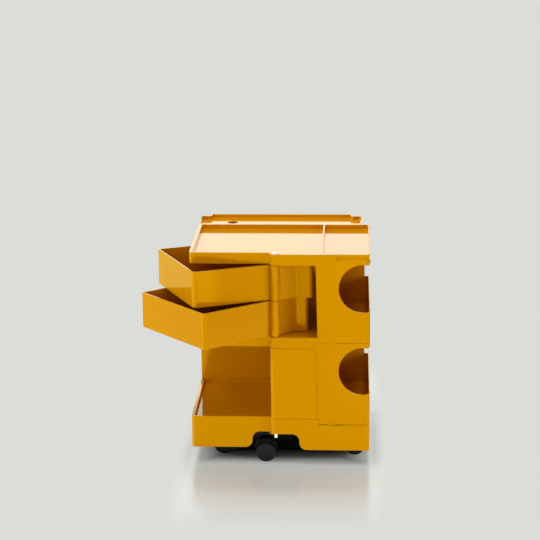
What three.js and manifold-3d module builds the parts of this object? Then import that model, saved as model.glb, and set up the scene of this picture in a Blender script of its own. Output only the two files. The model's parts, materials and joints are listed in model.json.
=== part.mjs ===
// A rolling storage trolley in moulded plastic: a base on five twin-wheel castors, two stacked
// modules with a round niche each, trays on top, and two drawers that swing on one corner rod.
// Millimetres. x runs right from the left edge, y back from the front face, z up from the floor.
import * as THREE from "three";
import Module from "manifold-3d";
import { mergeVertices } from "three/addons/utils/BufferGeometryUtils.js";

const wasm = await Module();
wasm.setup();

// Plan of the body
const WIDTH = 430;
const DEPTH = 420;
const STEP_X = 192.5; // the left half of the front ends here
const STEP_Y = 19.5; // and stands back this far
const PIVOT_R = 12; // rounded corner at the step, round the rod
const FRONT_LEFT_R = 10;
const SIDE_R = 9;
const REAR_DEPTH = 92.5; // of the rear shelves
const BACK_WALL_Y = DEPTH - REAR_DEPTH; // rear face of the wall behind the drawers
const REAR_INSET = 21.5; // the rear shelves stop this far short of the right side

// Heights
const SKIRT_FOOT = 37.5; // floor clearance under the base
const FIRST_SEAM = 102.5; // top of the base under the column
const PITCH = 203.25; // one module
const RIM_RISE = 13.5; // rims and decks above the seam
const SKIRT_DROP = 27; // depth of each front skirt below its rim
const TRAY_DEPTH = 11.5;
const STRIP_DEPTH = 3.5;
const BAY_DEPTH = 8;
const LIP_RISE = 6; // rear lip between the corner posts
const POST_WIDTH = 22;
const NOTCH_WIDTH = 24; // rear corners of the top, left free for the next posts
const NOTCH_DEPTH = 21;
const NOTCH_R = 5;
const DRAIN_INSET = 9; // drain slots in the notches' walls, from the sides
const DRAIN_WIDTH = 8.5;
const DRAIN_HEIGHT = 4.4;
const DRAIN_SILL = 0.6;

// Walls and fits
const WALL = 3;
const RIM = 4;
const SEAM = 0.3; // between one moulding and the next
const FIT = 0.3; // round what stands inside another piece
const OVERRUN = 5; // how far a cutting tool runs past what it cuts

// Column with the niches
const COLUMN_TOP_X = 300.8;
const COLUMN_FOOT_X = 305.4;
const COLUMN_JOG_X = 309.5;
const NICHE_SHARE = 0.4655; // radius of the round cut, of the column's width
const NICHE_R = (WIDTH - COLUMN_FOOT_X) * NICHE_SHARE;
const NICHE_INSET = 16.5; // centre of the round cut from the right side
const NICHE_RISE = 134; // and above the seam
const WINDOW_EDGE = 12.5; // the side window reaches this far round the rear corner
const WINDOW_LOW = 84; // above the seam
const WINDOW_TOP_DROP = 23; // below the rim
const TONGUE_INSET = 18.5;
const TONGUE_X = COLUMN_JOG_X + TONGUE_INSET;
const TONGUE_WIDTH = 19;
const TONGUE_RISE = 6.2;
const REBATE_SHARE = 0.2913; // where the rebate starts, of the small tray's width
const REBATE_DEPTH = 1.2;
const GROOVE_DEPTH = 2.2;
const GROOVE_LOW = 1.5;
const GROOVE_HEIGHT = 6;

// Trays
const LEFT_RIM = 8; // the main tray's left rim is wider than the others
const TRAY_CORNER_R = 3;
const DIVIDER_X = 315.7;
const DIVIDER = 4.3;
const HOLE_X = 82;
const HOLE_BACK = 56; // from the back
const HOLE_R = 13.25;

// Base
const ARCH_HALF = 57;
const ARCH_TOP = 77.5;
const ARCH_R = 18;
const LEDGE = 9; // width of the ledge that carries the rear wall
const COLUMN_LEDGE = 7;
const SIDE_LIP = 3.5;
const SIDE_GROOVE = 3;
const SIDE_INNER_LIP = 2.5;
const INNER_LIP_DROP = 2.5;
const GROOVE_FLOOR_DROP = 6;
const BASE_RIB = 2.5;
const BASE_RIB_DROP = 14;

// Rod and thrust washers
const PIVOT_X = STEP_X + PIVOT_R;
const PIVOT_Y = PIVOT_R;
const ROD_R = 4.5;
const ROD_FOOT = 64;
const ROD_TOP_DEPTH = 3.4; // below the top rim
const ROD_FIT = 0.4;
const CAP_R = 8;
const CAP_SEAT = 1.6;
const CAP_DOME = 1.4;
const CAP_SHOULDER_SHARE = 0.8; // of the cap's radius
const CAP_CROWN_SHARE = 0.4;
const DOME_SHOULDER_SHARE = 0.7; // of the dome's height
const WASHER_R = 7.8;
const BOSS_FOOT = 82.5;
const ROD_BOSS_R = 11.1;
const RETAINER_R = 8.5;
const RETAINER = 1.4;
const GUIDE_HEIGHT = 22;
const DECK_BOSS = 15;

// Drawers, measured from the rod when closed
const DRAWER_GAP = 1; // over, between and under the two drawers
const DRAWER_SIDE_GAP = 2.5; // inside the body's left side
const DRAWER_COLUMN_GAP = 4.3; // to the column
const DRAWER_BACK_GAP = 48.5; // to the back wall's rear face
const DRAWER_LEFT = PIVOT_X - DRAWER_SIDE_GAP;
const DRAWER_RIGHT = COLUMN_TOP_X - PIVOT_X - DRAWER_COLUMN_GAP;
const DRAWER_FRONT = 7.5;
const DRAWER_BACK = BACK_WALL_Y - PIVOT_Y - DRAWER_BACK_GAP;
const DRAWER_WALL = 3.6;
const DRAWER_FRONT_R = 10.5;
const DRAWER_BACK_R = 3;
const DRAWER_INNER_R = 1.2; // smallest corner inside the box
const BARREL_R = 10;
const BARREL_RECESS = 0.3;
const LIP_FRONT = -10.5;
const LIP_WIDTH = 8;
const SCALLOP_START_X = 9;
const SCALLOP_START_Y = -2.5;
const SCALLOP_NEAR_SHARE = 0.3804; // of the drawer's end, from the rod
const SCALLOP_NEAR_Y = 6;
const SCALLOP_FAR_SHARE = 0.7391;
const SCALLOP_FAR_Y = 10;
const UPPER_ANGLE = THREE.MathUtils.degToRad(24.2);
const LOWER_ANGLE = THREE.MathUtils.degToRad(39.8);

// Castors
const WHEEL_R = 24;
const WHEEL_WIDTH = 11.5;
const WHEEL_EDGE = 3; // rounding of the outer edge
const WHEEL_BEVEL = 1; // and bevel of the inner one
const WHEEL_DISH = 1.6;
const WHEEL_RIM = 3.6;
const WEB = 7.4;
const WHEEL_GAP = 0.6; // wheel to web
const TRAIL = 19;
const AXLE_R = 3;
const AXLE_FIT = 0.3;
const WHEEL_FIT = 0.1;
const AXLE_SHORT = 2.5; // axle ends this far inside the wheels' faces
const HUB_CAP = 2;
const HOOD_GAP = 1.4;
const HOOD = 2.2;
const HOOD_TOP = 60;
const HOOD_BOSS_R = 9;
const HOOD_SETBACK = 1.5; // hood's edge inside the wheels' outer faces
const GUARD_FOOT_SHARE = 1.3; // foot of the guard, of the wheel's radius
const WEB_FOOT_SHARE = 0.72; // and of the web
const STEM_R = 5;
const STEM_COLLAR_R = 7.2;
const STEM_COLLAR = 2.4;
const STEM_TOP = 100.5;
const STEM_SEAT = 12;
const SOCKET_R = 8.5;
const SOCKET_FLANGE_R = 11.5;
const SOCKET_FLANGE = 2;
const BOSS_R = 12.5;
const BOSS_DROP = 37; // castor bosses below the base's floor
const CASTOR_INSET = 54;
const CASTOR_FRONT_Y = 92;
const CENTRE_CASTOR_X = 198.5;
const CENTRE_CASTOR_Y = 37;
const CASTOR_BACK = 54;
const REAR_CASTOR_INSET = 76;

// Finish of the facets
const WELD = 0.0001; // corners this close are one
const ARC_STEPS = 3;
const ARCH_STEPS = 6;
const SCALLOP_STEPS = 10;
const NICHE_STEPS = 56;
const ROUND_STEPS = 24;
const SMALL_STEPS = 16;
const BARREL_STEPS = 32;
const HOLE_STEPS = 40;
const WHEEL_STEPS = 22;

// Worked out from the sizes above
const SECOND_SEAM = FIRST_SEAM + PITCH;
const THIRD_SEAM = SECOND_SEAM + PITCH;
const BAY_RIM = FIRST_SEAM + RIM_RISE;
const DECK = SECOND_SEAM + RIM_RISE;
const TOP_RIM = THIRD_SEAM + RIM_RISE;
const REAR_RIGHT = WIDTH - REAR_INSET;
const REBATE_X = DIVIDER_X + (WIDTH - DIVIDER_X) * REBATE_SHARE;
const BACK_WALL_FRONT = BACK_WALL_Y - WALL;
const DRAWER_SPACE = TOP_RIM - SKIRT_DROP - DECK;
const DRAWER_HEIGHT = (DRAWER_SPACE - 3 * DRAWER_GAP) / 2;
const LOWER_DRAWER_Z = DECK + DRAWER_GAP;
const UPPER_DRAWER_Z = LOWER_DRAWER_Z + DRAWER_HEIGHT + DRAWER_GAP;
const BAY_FLOOR = BAY_RIM - BAY_DEPTH;
const FLOOR_UNDERSIDE = BAY_FLOOR - WALL;

const yellow = { color: 0xd99a06, roughness: 0.28, metalness: 0 };
const black = { color: 0x1d1c1c, roughness: 0.45, metalness: 0 };
const darkGrey = { color: 0x2b2a2a, roughness: 0.5, metalness: 0 };
const steel = { color: 0xd6d8da, roughness: 0.18, metalness: 1 };

// Closed geometry to a solid, and back
function solidOf(geometry) {
  const bare = geometry.clone();
  bare.deleteAttribute("normal");
  bare.deleteAttribute("uv");
  const merged = mergeVertices(bare, WELD);
  const vertProperties = new Float32Array(merged.attributes.position.array);
  const triVerts = new Uint32Array(merged.index.array);
  return new wasm.Manifold(new wasm.Mesh({ numProp: 3, vertProperties, triVerts }));
}

function geometryOf(solid) {
  const mesh = solid.getMesh();
  const geometry = new THREE.BufferGeometry();
  geometry.setAttribute("position", new THREE.BufferAttribute(mesh.vertProperties, 3));
  geometry.setIndex(new THREE.BufferAttribute(mesh.triVerts, 1));
  geometry.computeVertexNormals();
  return geometry;
}

function union(...solids) {
  return solids.reduce((whole, next) => whole.add(next));
}

function cut(solid, ...tools) {
  return tools.reduce((left, tool) => left.subtract(tool), solid);
}

// A box between two corners
function block(x0, x1, y0, y1, z0, z1) {
  const box = new THREE.BoxGeometry(x1 - x0, y1 - y0, z1 - z0);
  return solidOf(box.translate((x0 + x1) / 2, (y0 + y1) / 2, (z0 + z1) / 2));
}

// An upright cylinder
function post(x, y, radius, z0, z1, steps = ROUND_STEPS) {
  const cylinder = new THREE.CylinderGeometry(radius, radius, z1 - z0, steps);
  return solidOf(cylinder.rotateX(Math.PI / 2).translate(x, y, (z0 + z1) / 2));
}

// A closed outline through corners given as [x, y, radius]
function roundedShape(corners) {
  const shape = new THREE.Shape();
  corners.forEach(([x, y, radius], index) => {
    const here = new THREE.Vector2(x, y);
    const last = corners[(index + corners.length - 1) % corners.length];
    const next = corners[(index + 1) % corners.length];
    const back = new THREE.Vector2(last[0], last[1]).sub(here).normalize();
    const ahead = new THREE.Vector2(next[0], next[1]).sub(here).normalize();
    if (radius <= 0) {
      addPoint(shape, here, index);
      return;
    }
    const half = Math.acos(THREE.MathUtils.clamp(back.dot(ahead), -1, 1)) / 2;
    const start = here.clone().addScaledVector(back, radius / Math.tan(half));
    const end = here.clone().addScaledVector(ahead, radius / Math.tan(half));
    const middle = back.clone().add(ahead).normalize();
    const centre = here.clone().addScaledVector(middle, radius / Math.sin(half));
    const clockwise = back.cross(ahead) > 0;
    addPoint(shape, start, index);
    const from = start.clone().sub(centre).angle();
    const to = end.clone().sub(centre).angle();
    shape.absarc(centre.x, centre.y, radius, from, to, clockwise);
  });
  return shape;
}

function addPoint(shape, point, index) {
  if (index === 0) {
    shape.moveTo(point.x, point.y);
  } else {
    shape.lineTo(point.x, point.y);
  }
}

// A plan shape pulled up from z0 to z1
function prism(shape, z0, z1) {
  const options = { depth: z1 - z0, bevelEnabled: false, curveSegments: ARC_STEPS };
  return solidOf(new THREE.ExtrudeGeometry(shape, options).translate(0, 0, z0));
}

// A front-view shape, drawn in x and z, pulled back from y0 to y1
function slab(shape, y0, y1) {
  const options = { depth: y1 - y0, bevelEnabled: false, curveSegments: ARCH_STEPS };
  const pulled = new THREE.ExtrudeGeometry(shape, options);
  return solidOf(pulled.rotateX(Math.PI / 2).translate(0, y1, 0));
}

// The body's outline, moved in by inset
function plan(inset) {
  const left = inset;
  const right = WIDTH - inset;
  const back = BACK_WALL_Y - inset;
  const rear = DEPTH - inset;
  return roundedShape([
    [left, STEP_Y + inset, FRONT_LEFT_R - inset],
    [STEP_X + inset, STEP_Y + inset, 0],
    [STEP_X + inset, inset, PIVOT_R - inset],
    [right, inset, SIDE_R - inset],
    [right, back, SIDE_R - inset],
    [REAR_RIGHT - inset, back, 0],
    [REAR_RIGHT - inset, rear, SIDE_R - inset],
    [left, rear, SIDE_R - inset],
  ]);
}

// The column's outline from startX rightwards, moved in by inset at the other three sides
function columnPlan(startX, inset) {
  return roundedShape([
    [startX, inset, 0],
    [WIDTH - inset, inset, SIDE_R - inset],
    [WIDTH - inset, BACK_WALL_Y - inset, SIDE_R - inset],
    [startX, BACK_WALL_Y - inset, 0],
  ]);
}

// Everything right of the column's leaning left face, moved right by inset
function rightOfColumnFace(seam, inset) {
  const low = seam - OVERRUN;
  const high = seam + PITCH + RIM_RISE + OVERRUN;
  const lean = (COLUMN_FOOT_X - COLUMN_TOP_X) / PITCH;
  const xAt = (z) => COLUMN_FOOT_X - lean * (z - seam) + inset;
  const shape = roundedShape([
    [xAt(low), low, 0],
    [WIDTH + OVERRUN, low, 0],
    [WIDTH + OVERRUN, high, 0],
    [xAt(high), high, 0],
  ]);
  return slab(shape, -OVERRUN, DEPTH);
}

// Hollow column from the seam up to top, open above and below
function columnWalls(seam, top) {
  const outer = prism(columnPlan(COLUMN_TOP_X - OVERRUN, 0), seam + SEAM, top);
  const inner = prism(columnPlan(COLUMN_TOP_X - OVERRUN, WALL), seam, top + OVERRUN);
  const shell = outer.intersect(rightOfColumnFace(seam, 0));
  const hollow = inner.intersect(rightOfColumnFace(seam, WALL));
  const footZ = seam + RIM_RISE + SEAM;
  const left = COLUMN_TOP_X - OVERRUN;
  const foot = block(left, COLUMN_JOG_X, -OVERRUN, DEPTH, seam - OVERRUN, footZ);
  return cut(shell, hollow, foot);
}

// The round cut in the front wall and the window in the side wall of one niche
function nicheCuts(seam) {
  const round = new THREE.CylinderGeometry(NICHE_R, NICHE_R, SIDE_R + OVERRUN, NICHE_STEPS);
  const x = WIDTH - NICHE_INSET;
  const roundCut = solidOf(round.translate(x, (SIDE_R - OVERRUN) / 2, seam + NICHE_RISE));
  const low = seam + WINDOW_LOW;
  const high = seam + PITCH + RIM_RISE - WINDOW_TOP_DROP;
  const windowX = WIDTH - WINDOW_EDGE;
  const window = block(windowX, WIDTH + OVERRUN, WALL, BACK_WALL_Y + OVERRUN, low, high);
  return union(roundCut, window);
}

// Ledge and raised plate on which the next column stands
function columnTop(seam) {
  const startX = COLUMN_JOG_X - SEAM;
  const ledge = prism(columnPlan(startX, 0), seam - WALL, seam);
  const spigotPlan = columnPlan(COLUMN_JOG_X, WALL + FIT);
  const spigot = prism(spigotPlan, seam - WALL, seam + RIM_RISE);
  const underPlan = columnPlan(COLUMN_JOG_X + WALL, WALL + FIT + WALL);
  const under = prism(underPlan, seam - PITCH, seam + RIM_RISE - WALL);
  return cut(union(ledge, spigot), under);
}

// Space above a seam that the next column's walls and the plate inside them take up
function columnSpace(seam) {
  const high = seam + RIM_RISE + OVERRUN;
  return block(COLUMN_JOG_X - SEAM, WIDTH + OVERRUN, -OVERRUN, BACK_WALL_Y + FIT, seam, high);
}

// Tongue that keys the column above, and the notch that takes it
function tongue(seam) {
  const right = TONGUE_X + TONGUE_WIDTH - FIT;
  return block(TONGUE_X + FIT, right, 0, WALL, seam - WALL, seam + TONGUE_RISE - FIT);
}

function tongueNotch(seam) {
  const right = TONGUE_X + TONGUE_WIDTH;
  return block(TONGUE_X, right, -OVERRUN, WALL + FIT, seam - OVERRUN, seam + TONGUE_RISE);
}

// Rear lip that stands between the corner posts of the module above
function rearLip(rim) {
  const left = POST_WIDTH + FIT;
  return block(left, REAR_RIGHT - left, DEPTH - WALL, DEPTH, rim - WALL, rim + LIP_RISE);
}

// Wall behind the drawers and the rear shelf's side walls and corner posts
function rearWalls(seam, top) {
  const low = seam + RIM_RISE + SEAM;
  const ring = cut(prism(plan(0), low, top), prism(plan(WALL), low - OVERRUN, top + OVERRUN));
  const behind = DEPTH + OVERRUN;
  const rear = block(-OVERRUN, REAR_RIGHT + SEAM, BACK_WALL_FRONT, behind, low, top);
  const backWall = block(0, COLUMN_JOG_X + WALL, BACK_WALL_FRONT, BACK_WALL_Y, low, top);
  const mouthRight = REAR_RIGHT - POST_WIDTH;
  const mouth = block(POST_WIDTH, mouthRight, DEPTH - SIDE_R, behind, low - OVERRUN, top);
  return union(cut(ring.intersect(rear), mouth), backWall);
}

// Front and left skirt with its plate over the space below
function deckPlate(rim) {
  const low = rim - SKIRT_DROP;
  const shell = cut(prism(plan(0), low, rim), prism(plan(WALL), low - OVERRUN, rim - WALL));
  const left = COLUMN_JOG_X - SEAM;
  const right = WIDTH + OVERRUN;
  return cut(shell, block(left, right, -OVERRUN, BACK_WALL_Y, low - OVERRUN, rim + OVERRUN));
}

function rodBoss(radius, z0, z1) {
  return post(PIVOT_X, PIVOT_Y, radius, z0, z1);
}

function rodBore(z0, z1) {
  return post(PIVOT_X, PIVOT_Y, ROD_R + ROD_FIT, z0, z1, SMALL_STEPS);
}

function makeLowerModule() {
  const walls = columnWalls(FIRST_SEAM, SECOND_SEAM);
  const shell = union(walls, rearWalls(FIRST_SEAM, DECK - WALL / 2), deckPlate(DECK));
  const body = union(
    cut(shell, nicheCuts(FIRST_SEAM), tongueNotch(FIRST_SEAM), columnSpace(SECOND_SEAM)),
    columnTop(SECOND_SEAM),
    tongue(SECOND_SEAM),
    rearLip(DECK),
    rodBoss(ROD_BOSS_R, DECK - DECK_BOSS, DECK),
  );
  return cut(body, rodBore(DECK - SKIRT_DROP, DECK + OVERRUN));
}

// Space inside the plan, moved in by inset, between two x and two y
function spaceInPlan(inset, x0, x1, y0, y1, z0, z1) {
  return prism(plan(inset), z0, z1).intersect(block(x0, x1, y0, y1, z0, z1));
}

// Trays and rear strip on top of the upper module
function topTrays() {
  const low = TOP_RIM - SKIRT_DROP;
  const floor = TOP_RIM - TRAY_DEPTH;
  const above = TOP_RIM + OVERRUN;
  const wallFront = BACK_WALL_Y - RIM;
  const half = DIVIDER / 2;
  const mainTray = prism(roundedShape([
    [LEFT_RIM, STEP_Y + RIM, TRAY_CORNER_R],
    [STEP_X + RIM, STEP_Y + RIM, 0],
    [STEP_X + RIM, RIM, PIVOT_R - RIM],
    [DIVIDER_X - half, RIM, 0],
    [DIVIDER_X - half, wallFront, 0],
    [LEFT_RIM, wallFront, 0],
  ]), floor, above);
  const smallTray = spaceInPlan(RIM, DIVIDER_X + half, WIDTH, 0, wallFront, floor, above);
  const under = spaceInPlan(WALL, 0, WIDTH, 0, BACK_WALL_FRONT, low - OVERRUN, floor - WALL);
  const body = cut(prism(plan(0), low, TOP_RIM), mainTray, smallTray, under);
  const strip = TOP_RIM - STRIP_DEPTH;
  const behind = block(-OVERRUN, WIDTH, BACK_WALL_Y, DEPTH + OVERRUN, THIRD_SEAM, above);
  const notches = cut(behind, prism(rearPlan(0), THIRD_SEAM - OVERRUN, above + OVERRUN));
  const ceiling = THIRD_SEAM - WALL;
  const shelf = spaceInPlan(WALL, 0, WIDTH, BACK_WALL_Y, DEPTH, low - OVERRUN, ceiling);
  const stripUnder = prism(rearPlan(WALL), ceiling - OVERRUN, strip - WALL);
  const hole = post(HOLE_X, DEPTH - HOLE_BACK, HOLE_R, ceiling - OVERRUN, above, HOLE_STEPS);
  return cut(body, notches, shelf, stripUnder, prism(rearPlan(WALL), strip, above), hole);
}

// Outline of the rear strip, notched at its two rear corners, moved in by inset
function rearPlan(inset) {
  const front = BACK_WALL_Y;
  const left = inset;
  const right = REAR_RIGHT - inset;
  const notchY = DEPTH - NOTCH_DEPTH - inset;
  const back = DEPTH - inset;
  return roundedShape([
    [left, front, 0],
    [right, front, 0],
    [right, notchY, NOTCH_R - inset],
    [right - NOTCH_WIDTH, notchY, NOTCH_R + inset],
    [right - NOTCH_WIDTH, back, NOTCH_R - inset],
    [left + NOTCH_WIDTH, back, NOTCH_R - inset],
    [left + NOTCH_WIDTH, notchY, NOTCH_R + inset],
    [left, notchY, NOTCH_R - inset],
  ]);
}

// Raised lip along the back of the rear strip and round its notches
function stripLip() {
  const low = TOP_RIM - WALL;
  const high = TOP_RIM + LIP_RISE;
  const ring = cut(prism(rearPlan(0), low, high), prism(rearPlan(WALL), low - OVERRUN, high + OVERRUN));
  const front = DEPTH - NOTCH_DEPTH - NOTCH_R - WALL;
  return ring.intersect(block(-OVERRUN, WIDTH, front, DEPTH + OVERRUN, low, high));
}

// Slots that drain the strip into its notches
function drains() {
  const low = TOP_RIM - STRIP_DEPTH + DRAIN_SILL;
  const back = DEPTH - NOTCH_DEPTH + WALL;
  const slot = (x) => block(x, x + DRAIN_WIDTH, back - WALL - OVERRUN, back, low, low + DRAIN_HEIGHT);
  return union(slot(DRAIN_INSET), slot(REAR_RIGHT - DRAIN_INSET - DRAIN_WIDTH));
}

// Rebate round the small tray's rim, with a groove under it
function trayRebate() {
  const ring = (depth, z0, z1) => {
    const outer = prism(columnPlan(REBATE_X, -OVERRUN), z0, z1);
    return cut(outer, prism(columnPlan(REBATE_X - OVERRUN, depth), z0 - OVERRUN, z1 + OVERRUN));
  };
  const low = THIRD_SEAM + GROOVE_LOW;
  const above = TOP_RIM + OVERRUN;
  const back = BACK_WALL_FRONT - SIDE_R;
  const groove = ring(GROOVE_DEPTH, low, low + GROOVE_HEIGHT);
  const rebate = ring(REBATE_DEPTH, low, above);
  return union(groove, rebate).intersect(block(0, WIDTH + OVERRUN, -OVERRUN, back, low, above));
}

function makeUpperModule() {
  const low = TOP_RIM - SKIRT_DROP;
  const walls = columnWalls(SECOND_SEAM, TOP_RIM - TRAY_DEPTH - WALL / 2);
  const shell = union(walls, rearWalls(SECOND_SEAM, low + WALL / 2), topTrays());
  const body = union(
    cut(shell, nicheCuts(SECOND_SEAM), tongueNotch(SECOND_SEAM)),
    stripLip(),
    rodBoss(ROD_BOSS_R, low, TOP_RIM),
  );
  const capSeat = post(PIVOT_X, PIVOT_Y, CAP_R + FIT, TOP_RIM - CAP_SEAT - FIT, TOP_RIM + OVERRUN);
  return cut(body, trayRebate(), rodBore(low - OVERRUN, TOP_RIM), capSeat, drains());
}

// Front arch of the base with its S-shaped ends
function archCut() {
  const wide = ARCH_HALF + ARCH_R;
  const shape = new THREE.Shape();
  shape.moveTo(PIVOT_X - wide, SKIRT_FOOT - OVERRUN);
  shape.lineTo(PIVOT_X - wide, SKIRT_FOOT);
  shape.absarc(PIVOT_X - wide, SKIRT_FOOT + ARCH_R, ARCH_R, -Math.PI / 2, 0, false);
  shape.absarc(PIVOT_X - ARCH_HALF + ARCH_R, ARCH_TOP - ARCH_R, ARCH_R, Math.PI, Math.PI / 2, true);
  shape.absarc(PIVOT_X + ARCH_HALF - ARCH_R, ARCH_TOP - ARCH_R, ARCH_R, Math.PI / 2, 0, true);
  shape.absarc(PIVOT_X + wide, SKIRT_FOOT + ARCH_R, ARCH_R, Math.PI, 1.5 * Math.PI, false);
  shape.lineTo(PIVOT_X + wide, SKIRT_FOOT - OVERRUN);
  return slab(shape, -OVERRUN, STEP_Y + WALL + OVERRUN);
}

// Places of the castors: stem x, stem y, and the way the wheels trail, in degrees from +x
const castors = {
  front: [CENTRE_CASTOR_X, CENTRE_CASTOR_Y, 184],
  front_left: [CASTOR_INSET, CASTOR_FRONT_Y, 4],
  front_right: [WIDTH - CASTOR_INSET, CASTOR_FRONT_Y, -6],
  rear_left: [CASTOR_INSET, DEPTH - CASTOR_BACK, 38],
  rear_right: [WIDTH - REAR_CASTOR_INSET, DEPTH - CASTOR_BACK, 152],
};

function makeBase() {
  const solid = prism(plan(0), SKIRT_FOOT, BAY_RIM);
  const inside = prism(plan(WALL), SKIRT_FOOT - OVERRUN, FLOOR_UNDERSIDE);
  const shell = cut(union(cut(solid, inside), baseRibs()), columnSpace(FIRST_SEAM));
  const foot = union(shell, columnTop(FIRST_SEAM), columnSkirt());
  const keyed = union(foot, tongue(FIRST_SEAM), rearLip(BAY_RIM));
  const rodSeat = rodBoss(ROD_BOSS_R, BOSS_FOOT, BAY_RIM);
  const bossTop = FLOOR_UNDERSIDE + WALL / 2;
  const bosses = castorPosts(BOSS_R, FLOOR_UNDERSIDE - BOSS_DROP, bossTop);
  const body = union(cut(keyed, bayCuts(), archCut()), ...bosses, rodSeat);
  const sockets = castorPosts(SOCKET_R + FIT, SKIRT_FOOT, FLOOR_UNDERSIDE - WALL / 2);
  return cut(body, ...sockets, rodBore(SKIRT_FOOT, BAY_RIM + OVERRUN));
}

// An upright cylinder at each castor
function castorPosts(radius, z0, z1) {
  const places = Object.values(castors);
  return places.map(([x, y]) => post(x, y, radius, z0, z1, SMALL_STEPS));
}

// The base's wall under the column, up to the seam
function columnSkirt() {
  const startX = COLUMN_JOG_X - COLUMN_LEDGE;
  const low = FLOOR_UNDERSIDE - WALL;
  const outer = prism(columnPlan(startX, 0), low, FIRST_SEAM);
  return cut(outer, prism(columnPlan(startX - OVERRUN, WALL), low - OVERRUN, FIRST_SEAM + OVERRUN));
}

// Bay floor, the groove in its side rim, and the rear shelf's floor
function bayCuts() {
  const top = BAY_RIM + OVERRUN;
  const bayRight = COLUMN_JOG_X - COLUMN_LEDGE;
  const bayBack = BACK_WALL_FRONT - (LEDGE - WALL) / 2;
  const bayLeft = SIDE_LIP + SIDE_GROOVE + SIDE_INNER_LIP;
  const bay = spaceInPlan(RIM, bayLeft, bayRight, 0, bayBack, BAY_FLOOR, top);
  const grooveFloor = BAY_RIM - GROOVE_FLOOR_DROP;
  const grooveFront = STEP_Y + FRONT_LEFT_R;
  const grooveRight = SIDE_LIP + SIDE_GROOVE;
  const groove = block(SIDE_LIP, grooveRight, grooveFront, bayBack, grooveFloor, top);
  const lipTop = BAY_RIM - INNER_LIP_DROP;
  const innerLip = block(grooveRight, bayLeft, grooveFront, bayBack, lipTop, top);
  const shelf = spaceInPlan(RIM, 0, WIDTH, bayBack + LEDGE, DEPTH, BAY_FLOOR, top);
  return union(bay, groove, innerLip, shelf);
}

// Ribs under the base's floor, through the castor bosses
function baseRibs() {
  const low = FLOOR_UNDERSIDE - BASE_RIB_DROP;
  const high = FLOOR_UNDERSIDE + WALL / 2;
  const half = BASE_RIB / 2;
  const rib = (x0, x1, y0, y1) => block(x0, x1, y0, y1, low, high);
  const left = WALL / 2;
  const right = REAR_RIGHT - left;
  const rows = [CASTOR_FRONT_Y, DEPTH - CASTOR_BACK];
  const across = rows.map((y) => rib(left, right, y - half, y + half));
  const lines = [CASTOR_INSET, CENTRE_CASTOR_X, WIDTH - REAR_CASTOR_INSET];
  const along = lines.map((x) => rib(x - half, x + half, CENTRE_CASTOR_Y, DEPTH - left));
  const column = block(COLUMN_JOG_X - SEAM, WIDTH, 0, DEPTH, FIRST_SEAM - WALL / 2, TOP_RIM);
  return cut(union(...across, ...along), column);
}

// Front panel beside the lower column, with guide rings for the rod
function makePanel() {
  const low = BAY_RIM + SEAM;
  const high = DECK - SKIRT_DROP - SEAM;
  const flangeEnd = STEP_Y + FRONT_LEFT_R;
  const outline = roundedShape([
    [STEP_X, flangeEnd, 0],
    [STEP_X, 0, PIVOT_R],
    [COLUMN_JOG_X, 0, 0],
    [COLUMN_JOG_X, WALL, 0],
    [STEP_X + WALL, WALL, PIVOT_R - WALL],
    [STEP_X + WALL, flangeEnd, 0],
  ]);
  const front = cut(prism(outline, low, high), rightOfColumnFace(FIRST_SEAM, -FIT));
  const lowGuide = rodBoss(ROD_BOSS_R, low + WALL, low + WALL + GUIDE_HEIGHT);
  const highGuide = rodBoss(ROD_BOSS_R, high - WALL - GUIDE_HEIGHT, high - WALL);
  return cut(union(front, lowGuide, highGuide), rodBore(low - OVERRUN, high + OVERRUN));
}

// Outline of a drawer, moved in by inset, with the finger scallop right of the barrel
function drawerPlan(inset) {
  const shape = new THREE.Shape();
  const left = -DRAWER_LEFT + inset;
  const right = DRAWER_RIGHT - inset;
  const front = DRAWER_FRONT + inset;
  const back = DRAWER_BACK - inset;
  const frontR = DRAWER_FRONT_R - inset;
  const backR = Math.max(DRAWER_BACK_R - inset, DRAWER_INNER_R);
  shape.moveTo(left, front + frontR);
  shape.absarc(left + frontR, front + frontR, frontR, Math.PI, 1.5 * Math.PI, false);
  shape.lineTo(SCALLOP_START_X, front);
  shape.lineTo(SCALLOP_START_X + inset, SCALLOP_START_Y + inset);
  shape.bezierCurveTo(
    DRAWER_RIGHT * SCALLOP_NEAR_SHARE, SCALLOP_NEAR_Y + inset,
    DRAWER_RIGHT * SCALLOP_FAR_SHARE + inset, SCALLOP_FAR_Y + inset,
    DRAWER_RIGHT - LIP_WIDTH + inset, LIP_FRONT + inset,
  );
  shape.lineTo(right, LIP_FRONT + inset);
  shape.lineTo(right, back - backR);
  shape.absarc(right - backR, back - backR, backR, 0, Math.PI / 2, false);
  shape.absarc(left + backR, back - backR, backR, Math.PI / 2, Math.PI, false);
  shape.closePath();
  return shape;
}

function drawerPrism(inset, z0, z1) {
  const options = { depth: z1 - z0, bevelEnabled: false, curveSegments: SCALLOP_STEPS };
  return solidOf(new THREE.ExtrudeGeometry(drawerPlan(inset), options).translate(0, 0, z0));
}

// An open box with the barrel that turns on the rod, drawn round the rod's axis
function makeDrawer() {
  const box = drawerPrism(0, 0, DRAWER_HEIGHT);
  const inside = drawerPrism(DRAWER_WALL, DRAWER_WALL, DRAWER_HEIGHT + OVERRUN);
  const barrel = post(0, 0, BARREL_R, BARREL_RECESS, DRAWER_HEIGHT - BARREL_RECESS, BARREL_STEPS);
  const recessR = BARREL_R + FIT;
  const footRecess = post(0, 0, recessR, -OVERRUN, BARREL_RECESS);
  const topRecess = post(0, 0, recessR, DRAWER_HEIGHT - BARREL_RECESS, DRAWER_HEIGHT + OVERRUN);
  const bore = post(0, 0, ROD_R + ROD_FIT, -OVERRUN, DRAWER_HEIGHT + OVERRUN, SMALL_STEPS);
  return cut(union(cut(box, inside), barrel), footRecess, topRecess, bore);
}

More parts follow.
